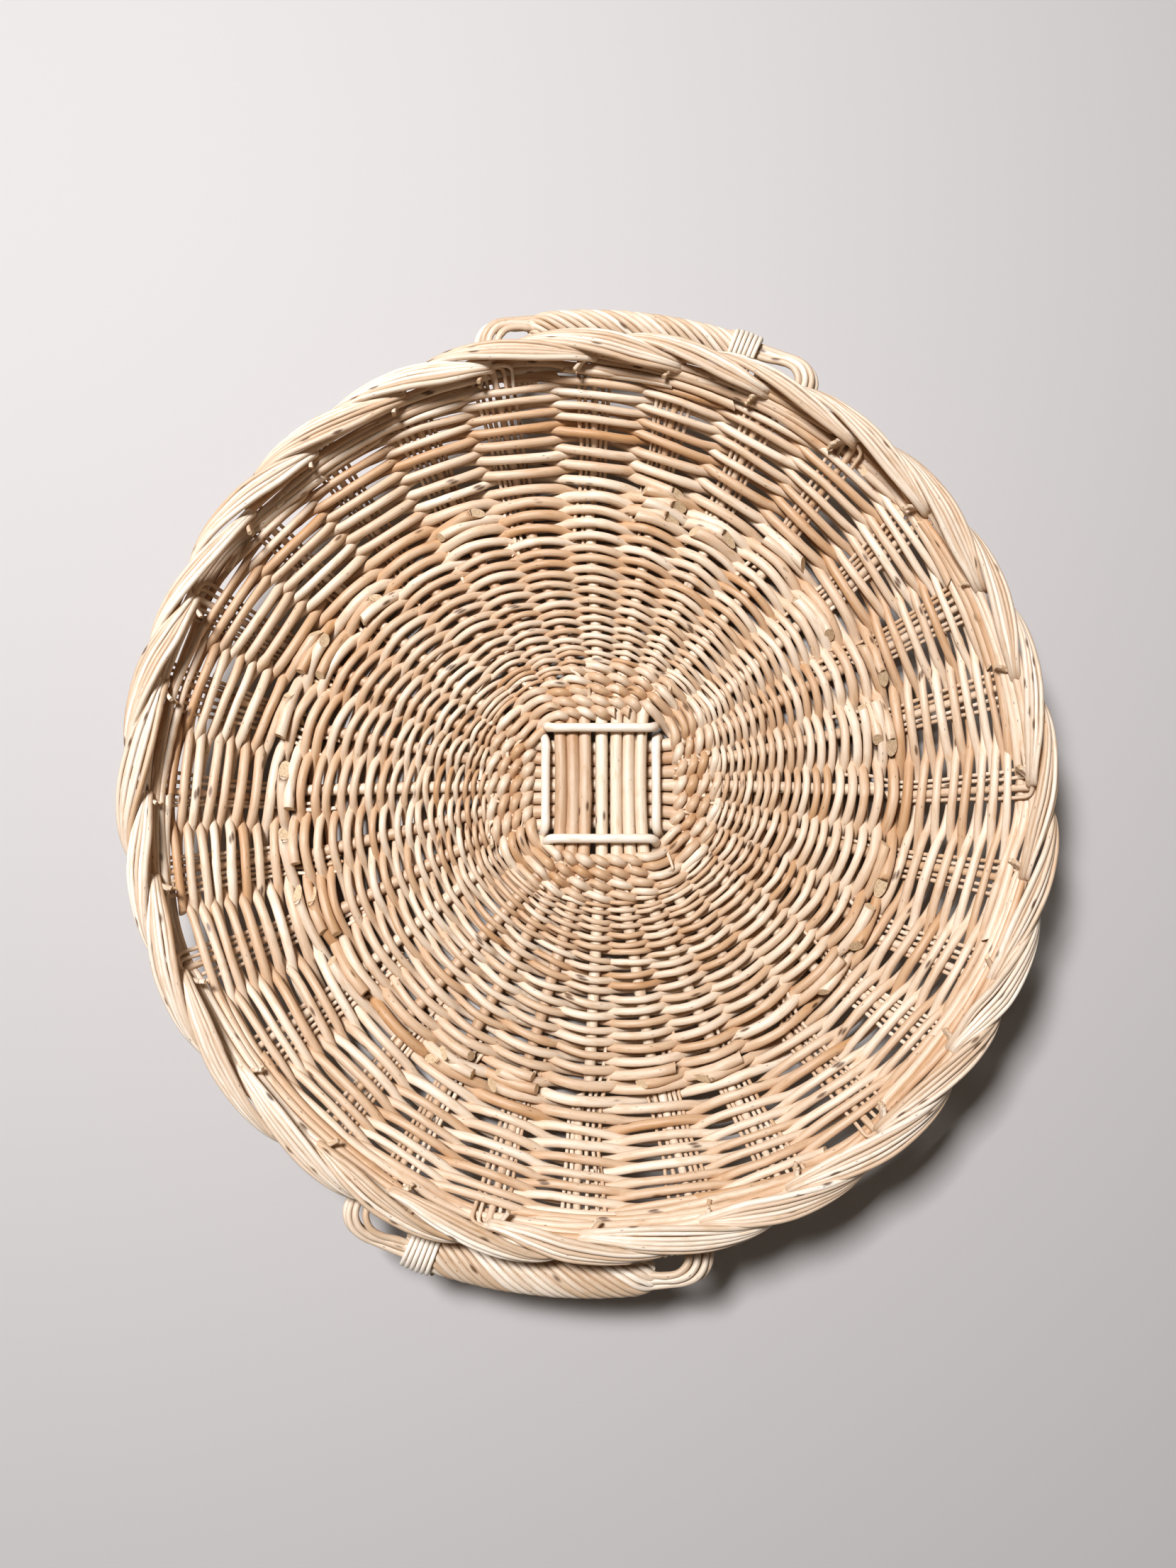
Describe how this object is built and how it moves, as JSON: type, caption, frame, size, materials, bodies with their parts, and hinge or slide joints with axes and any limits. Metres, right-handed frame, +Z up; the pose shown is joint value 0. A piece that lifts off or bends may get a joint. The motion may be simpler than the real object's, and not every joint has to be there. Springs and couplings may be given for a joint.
{
  "type": "wicker bread basket",
  "caption": "Shallow round peeled-willow bread basket with a crossed-stick base, sloping woven wall, scalloped border and two roped side handles.",
  "frame": {"origin": "middle of the outline on the surface the basket stands on", "axes": "+Z up out of the bowl, +Y towards one handle, +X across"},
  "size_m": [0.573, 0.62, 0.092],
  "materials": {
    "willow_stick": "matt peeled willow",
    "willow_pale": "matt peeled willow, pale",
    "willow_weave": "satin peeled willow",
    "willow_stakes": "matt peeled willow",
    "willow_border": "satin peeled willow",
    "willow_handle": "satin peeled willow"
  },
  "bodies": {
    "root": {"base_weave": "willow_weave", "border_east": "willow_border", "border_north": "willow_border", "border_south": "willow_border", "border_tips_east": "willow_border", "border_tips_north": "willow_border", "border_tips_south": "willow_border", "border_tips_west": "willow_border", "border_west": "willow_border", "centre_pairing": "willow_weave", "handle_north_core": "willow_handle", "handle_north_ear_left": "willow_handle", "handle_north_ear_right": "willow_handle", "handle_north_lashing": "willow_handle", "handle_north_roping": "willow_handle", "handle_north_wraps_left": "willow_handle", "handle_north_wraps_right": "willow_handle", "handle_south_core": "willow_handle", "handle_south_ear_left": "willow_handle", "handle_south_ear_right": "willow_handle", "handle_south_lashing": "willow_handle", "handle_south_roping": "willow_handle", "handle_south_wraps_left": "willow_handle", "handle_south_wraps_right": "willow_handle", "side_stakes_east": "willow_stakes", "side_stakes_north": "willow_stakes", "side_stakes_south": "willow_stakes", "side_stakes_west": "willow_stakes", "slath_binder_east": "willow_pale", "slath_binder_north": "willow_pale", "slath_binder_south": "willow_pale", "slath_binder_west": "willow_pale", "stick_across_1": "willow_stick", "stick_across_2": "willow_stick", "stick_across_3": "willow_stick", "stick_across_4": "willow_stick", "stick_across_5": "willow_stick", "stick_across_6": "willow_stick", "stick_across_7": "willow_stick", "stick_along_1": "willow_stick", "stick_along_2": "willow_stick", "stick_along_3": "willow_stick", "stick_along_4": "willow_stick", "stick_along_5": "willow_stick", "stick_along_6": "willow_stick", "stick_along_7": "willow_stick", "top_wale": "willow_weave", "wall_weave": "willow_weave"}
  },
  "joints": []
}
